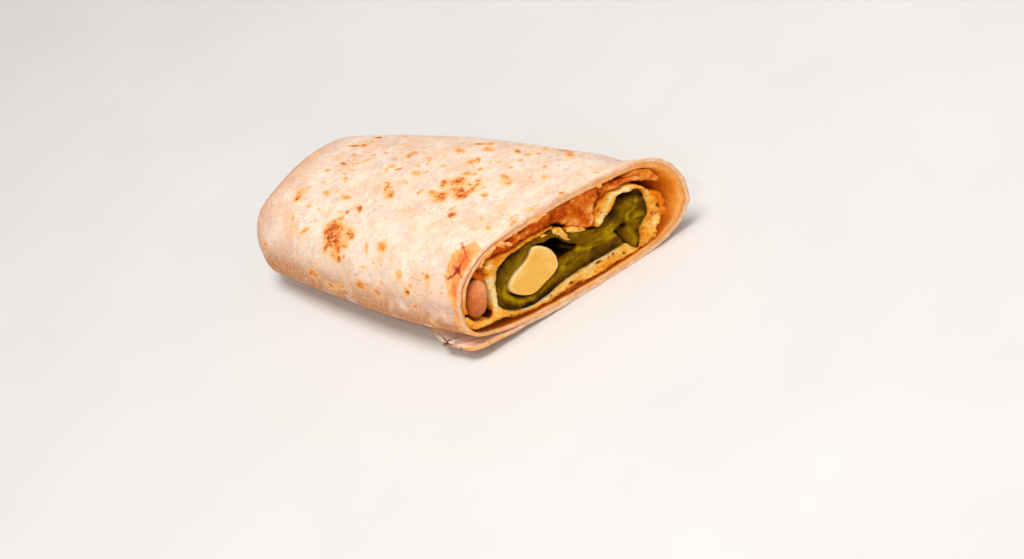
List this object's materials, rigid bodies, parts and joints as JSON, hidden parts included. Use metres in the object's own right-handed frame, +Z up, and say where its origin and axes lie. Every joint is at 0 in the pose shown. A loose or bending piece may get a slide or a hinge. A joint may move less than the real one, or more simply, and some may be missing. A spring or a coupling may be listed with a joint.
{
  "type": "burrito half",
  "caption": "Half of a rolled flour-tortilla burrito, closed at one end and cut on a slant at the other, showing pepper, cheese, egg batter and refried beans.",
  "frame": {"origin": "middle of the bounding box, on the flat underside the half rests on", "axes": "+X along the roll from the closed end to the cut, +Y across the roll to the side that is longer at the cut, +Z up"},
  "size_m": [0.1458, 0.0708, 0.0355],
  "materials": {
    "tortilla": "dry, floury, with toasted spots",
    "refried_beans": "moist paste",
    "egg_batter": "fluffy, slightly oily",
    "pepper": "wet, glossy flesh",
    "cheese": "smooth, satin",
    "pinto_bean": "smooth, satin skin"
  },
  "bodies": {
    "root": {"tortilla": "tortilla", "refried_beans": "refried_beans", "egg_batter": "egg_batter", "pepper": "pepper", "cheese": "cheese", "pinto_bean": "pinto_bean"}
  },
  "joints": []
}
